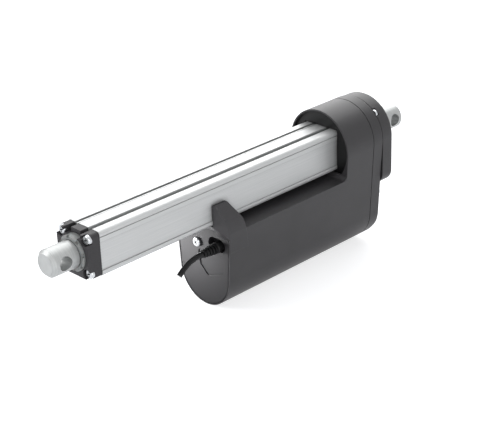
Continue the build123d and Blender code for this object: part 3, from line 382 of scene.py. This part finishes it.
node_finish = {
    "main_housing": casting, "gear_cover": casting, "back_cover": casting, "motor_end_cap": painted_shade_polyamide,
    "outer_tube": extrusion, "front_cap": polyamide, "rear_eye": eye_steel, "rod_end": eye_steel,
    "eye_spacer": zinc, "gear_gasket": rubber, "case_screws": zinc, "cover_screws": zinc,
    "front_cap_screws": zinc, "end_cap_screw": zinc, "motor_screws": zinc, "board_screws": zinc,
    "wiper_ring": ring_acetal, "wiper_seal": rubber, "guide_bush": nut_acetal,
    "spindle_bearing_races": bearing_steel, "spindle_inner_races": bearing_steel,
    "motor_bearing_races": bearing_steel, "motor_inner_races": bearing_steel, "idler_pin": bearing_steel,
    "motor_can": zinc, "motor_magnets": ferrite, "motor_end_bell": polyamide, "motor_brushes": carbon,
    "motor_cradle": polyamide, "control_board": board, "board_parts": polyamide, "cable_gland": rubber,
    "strain_relief": rubber, "cable": jacket, "piston_tube": chrome, "drive_nut": nut_acetal,
    "spindle": bearing_steel, "spindle_gear": gear_steel, "spindle_spacer": zinc, "spindle_lock_nut": zinc,
    "idler_gear": gear_steel, "armature_core": sheet_stack, "motor_shaft": bearing_steel,
    "armature_windings": winding, "commutator": segment_copper, "motor_pinion": gear_steel,
}
for name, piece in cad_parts.items():
    piece.data.materials.clear()
    piece.data.materials.append(node_finish[name])


# Pieces

def linked_mesh(name, shape, finish):
    """An object in the scene from a bmesh, which is then freed."""
    mesh = bpy.data.meshes.new(name)
    shape.to_mesh(mesh)
    shape.free()
    mesh.materials.append(finish)
    made = bpy.data.objects.new(name, mesh)
    bpy.context.scene.collection.objects.link(made)
    return made


def keep_piece(name, shape, finish, body):
    """A bmesh as a finished piece that rides on a body."""
    made = linked_mesh(name, shape, finish)
    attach(made, body)
    return made


def along_x(middle_x):
    """The matrix that turns a shape made along Z to lie along X, with its middle at middle_x."""
    return Matrix.Translation((middle_x, 0.0, 0.0)) @ Matrix.Rotation(math.radians(90), 4, "Y")


def spin_round_x(shape, geom, steps, advance=0.0, use_merge=False):
    """Spins a profile once round the X axis, advancing along it at each step for a thread."""
    bmesh.ops.spin(shape, geom=geom, cent=(0.0, 0.0, 0.0), axis=(1.0, 0.0, 0.0), dvec=(advance, 0.0, 0.0),
                   angle=math.tau, steps=steps, use_merge=use_merge)


def close_holes(shape):
    """Fills the open edges and turns all faces outwards."""
    bmesh.ops.holes_fill(shape, edges=[edge for edge in shape.edges if edge.is_boundary])
    bmesh.ops.recalc_face_normals(shape, faces=shape.faces)


def round_bar(shape, rear_x, front_x, rear_r, front_r, sides=48):
    """A capped bar or cone along X, added to a bmesh."""
    bmesh.ops.create_cone(shape, cap_ends=True, segments=sides, radius1=rear_r, radius2=front_r,
                          depth=front_x - rear_x, matrix=along_x((rear_x + front_x) / 2))


def spindle_piece():
    """The spindle: a ground journal, and a trapezoidal thread spun from its profile along the lead."""
    turns = round((spindle_tip_x - spindle_shoulder_x) / spindle_lead) - 1
    # One tooth's outline, as shares of the lead and radii
    tooth = (
        (0.0, spindle_root_r),
        (0.40, spindle_root_r),
        (0.48, spindle_crest_r),
        (0.92, spindle_crest_r),
    )
    shape = bmesh.new()
    profile = [
        shape.verts.new((spindle_shoulder_x + (turn + share) * spindle_lead, 0.0, radius))
        for turn in range(turns)
        for share, radius in tooth
    ]
    profile.append(shape.verts.new((spindle_shoulder_x + turns * spindle_lead, 0.0, spindle_root_r)))
    chain = [shape.edges.new(pair) for pair in zip(profile, profile[1:])]
    spin_round_x(shape, profile + chain, thread_steps, advance=spindle_lead / thread_steps)
    bmesh.ops.remove_doubles(shape, verts=shape.verts, dist=weld_distance)
    close_holes(shape)
    round_bar(shape, journal_rear_x, spindle_shoulder_x, journal_r, journal_r)
    round_bar(shape, spindle_shoulder_x, spindle_shoulder_x + plain_end, spindle_crest_r, spindle_crest_r)
    round_bar(shape, spindle_tip_x - plain_end, spindle_tip_x, spindle_root_r, spindle_root_r - tip_chamfer)
    made = keep_piece("threaded_spindle", shape, bearing_steel, "spindle")
    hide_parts("spindle")


def cable_piece():
    """The cable: one smooth spline through the route, bevelled to the jacket's diameter."""
    points = [Vector((relief_tip_x, gland_y, gland_z))]
    for index, run in enumerate(cable_runs):
        down = math.radians(cable_turn * index)
        points.append(points[-1] + Vector((math.cos(down), 0.0, -math.sin(down))) * run * MM)
    curve = bpy.data.curves.new("cable_line", "CURVE")
    curve.dimensions = "3D"
    spline = curve.splines.new("NURBS")
    spline.points.add(len(points) - 1)
    for point, place in zip(spline.points, points):
        point.co = (*place, 1.0)
    spline.order_u = 3
    spline.use_endpoint_u = True
    spline.resolution_u = 24
    curve.bevel_depth = cable_d / 2
    curve.bevel_resolution = 8
    curve.use_fill_caps = True
    made = bpy.data.objects.new("supply_cable", curve)
    bpy.context.scene.collection.objects.link(made)
    curve.materials.append(jacket)
    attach(made, "housing")
    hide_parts("cable")


def seal_and_shade_sheet_piece():
    """The black rubber sheet in the collar's pocket, round the square tube; its black is partly painted shade
    for the pocket.
    """
    # The sheet: a disc with a square hole, thickened forwards
    shape = bmesh.new()
    place = along_x(seal_rear_x)
    square_turn = Matrix.Rotation(math.radians(45), 4, "X")
    hole_r = seal_hole / 2 * math.sqrt(2)
    bmesh.ops.create_circle(shape, segments=seal_sides, radius=seal_r, matrix=place)
    bmesh.ops.create_circle(shape, segments=4, radius=hole_r, matrix=square_turn @ place)
    bmesh.ops.bridge_loops(shape, edges=shape.edges[:])
    grown = bmesh.ops.extrude_face_region(shape, geom=shape.faces[:])["geom"]
    front_verts = [item for item in grown if isinstance(item, bmesh.types.BMVert)]
    bmesh.ops.translate(shape, verts=front_verts, vec=(seal_thickness, 0.0, 0.0))
    # The lip: a ring that lines the pocket's wall
    lip_rear_x = seal_rear_x + seal_lip_step
    lip_inner_r = seal_lip_r - seal_thickness
    corners = (
        (lip_rear_x, lip_inner_r),
        (lip_rear_x, seal_lip_r),
        (seal_lip_x, seal_lip_r),
        (seal_lip_x, lip_inner_r),
    )
    lip = [shape.verts.new((x, 0.0, radius)) for x, radius in corners]
    chain = [shape.edges.new(pair) for pair in zip(lip, lip[1:] + lip[:1])]
    spin_round_x(shape, lip + chain, seal_sides, use_merge=True)
    # Both stop at the pocket's flat floor, just under the tube
    bmesh.ops.bisect_plane(shape, geom=shape.verts[:] + shape.edges[:] + shape.faces[:], dist=cut_tolerance,
                           plane_co=(0.0, 0.0, seal_low_z), plane_no=(0.0, 0.0, -1.0), clear_outer=True)
    close_holes(shape)
    keep_piece("seal_and_shade_sheet", shape, rubber, "housing")


spindle_piece()
cable_piece()
seal_and_shade_sheet_piece()


# Floor, light and camera

def seen_directly(tree):
    """One for the camera and for rays that the object mirrors or lets through, nothing for diffuse light."""
    path = add_node(tree, "ShaderNodeLightPath")
    mirrored = add_node(tree, "ShaderNodeMath", {"operation": "MAXIMUM"},
                        links={0: (path, "Is Glossy Ray"), 1: (path, "Is Transmission Ray")})
    return add_node(tree, "ShaderNodeMath", {"operation": "MAXIMUM"},
                    links={0: (path, "Is Camera Ray"), 1: (mirrored, "Value")})


def studio_floor():
    # Pale matt paint, which also glows where it is seen or mirrored, so that the background is white
    paint, tree, shader = material("studio_floor", "#cdced1", roughness=0.9)
    surface = shader.outputs["BSDF"].links[0].to_socket
    strength = add_node(tree, "ShaderNodeMath", {"operation": "MULTIPLY"}, {1: floor_glow},
                        {0: (seen_directly(tree), "Value")})
    glow = add_node(tree, "ShaderNodeEmission", inputs={"Color": plain_white},
                    links={"Strength": (strength, "Value")})
    both = add_node(tree, "ShaderNodeAddShader", links={0: (shader, "BSDF"), 1: (glow, "Emission")})
    tree.links.new(both.outputs["Shader"], surface)
    shape = bmesh.new()
    bmesh.ops.create_grid(shape, x_segments=1, y_segments=1, size=floor_size / 2)
    bmesh.ops.translate(shape, verts=shape.verts, vec=(part_middle[0], 0.0, housing_low_z - floor_drop))
    floor = linked_mesh("floor", shape, paint)


def studio_world():
    """White where it is seen or mirrored, and an even fill elsewhere."""
    world = bpy.data.worlds.new("studio")
    world.use_nodes = True
    tree = world.node_tree
    tree.nodes.clear()
    white = add_node(tree, "ShaderNodeBackground", inputs={"Color": plain_white, "Strength": 1.0})
    fill = add_node(tree, "ShaderNodeBackground", inputs={"Color": fill_white, "Strength": studio_fill})
    mix = add_node(tree, "ShaderNodeMixShader", links={
        0: (seen_directly(tree), "Value"),
        1: (fill, "Background"),
        2: (white, "Background"),
    })
    add_node(tree, "ShaderNodeOutputWorld", links={"Surface": (mix, "Shader")})
    bpy.context.scene.world = world


def softbox(name, place, aim, size, power, spread=180.0):
    """A square area lamp at a place, turned to its aim, its beam held to a spread in degrees."""
    lamp = bpy.data.lights.new(name, "AREA")
    lamp.shape = "SQUARE"
    lamp.size = size
    lamp.energy = power
    lamp.spread = math.radians(spread)
    made = bpy.data.objects.new(name, lamp)
    bpy.context.scene.collection.objects.link(made)
    made.location = place
    made.rotation_mode = "QUATERNION"
    made.rotation_quaternion = (Vector(aim) - Vector(place)).to_track_quat("-Z", "Y")


def photo_camera():
    """The camera at the photograph's angle, placed from the front of the tube's cap."""
    level = math.cos(camera_height)
    back = Vector((math.sin(camera_turn) * level, -math.cos(camera_turn) * level, math.sin(camera_height)))
    level_right = Vector((math.cos(camera_turn), math.sin(camera_turn), 0.0))
    level_up = back.cross(level_right)
    right = level_right * math.cos(camera_tilt) + level_up * math.sin(camera_tilt)
    up = back.cross(right)
    camera_data = bpy.data.cameras.new("camera")
    camera_data.sensor_width = sensor_width
    camera_data.lens = lens
    camera_data.clip_start = 0.05
    camera_data.clip_end = 50.0
    camera = bpy.data.objects.new("camera", camera_data)
    bpy.context.scene.collection.objects.link(camera)
    place = Vector(cap_front) + back * camera_distance + level_right * camera_right + level_up * camera_up
    camera.location = place
    camera.rotation_mode = "QUATERNION"
    camera.rotation_quaternion = Matrix((right, up, back)).transposed().to_quaternion()
    bpy.context.scene.camera = camera


studio_floor()
studio_world()
# Lamps: places and sizes in metres, power in watts
softbox("top_box", place=(0.15, -0.25, 1.5), aim=part_middle, size=1.3, power=1.5)
softbox("left_box", place=(1.3, -0.9, 0.8), aim=part_middle, size=0.9, power=12.0)
softbox("side_box", place=(0.76, 0.75, 0.25), aim=(0.25, 0.0, -0.05), size=0.5, power=3.4)
softbox("back_box", place=(-0.9, -0.75, 0.9), aim=part_middle, size=1.8, power=28.0)
softbox("face_box", place=(0.40, -0.16, -0.06), aim=(0.262, -0.036, -0.058), size=0.05, power=0.075,
        spread=32.0)
photo_camera()
bpy.context.scene.view_settings.view_transform = "Standard"
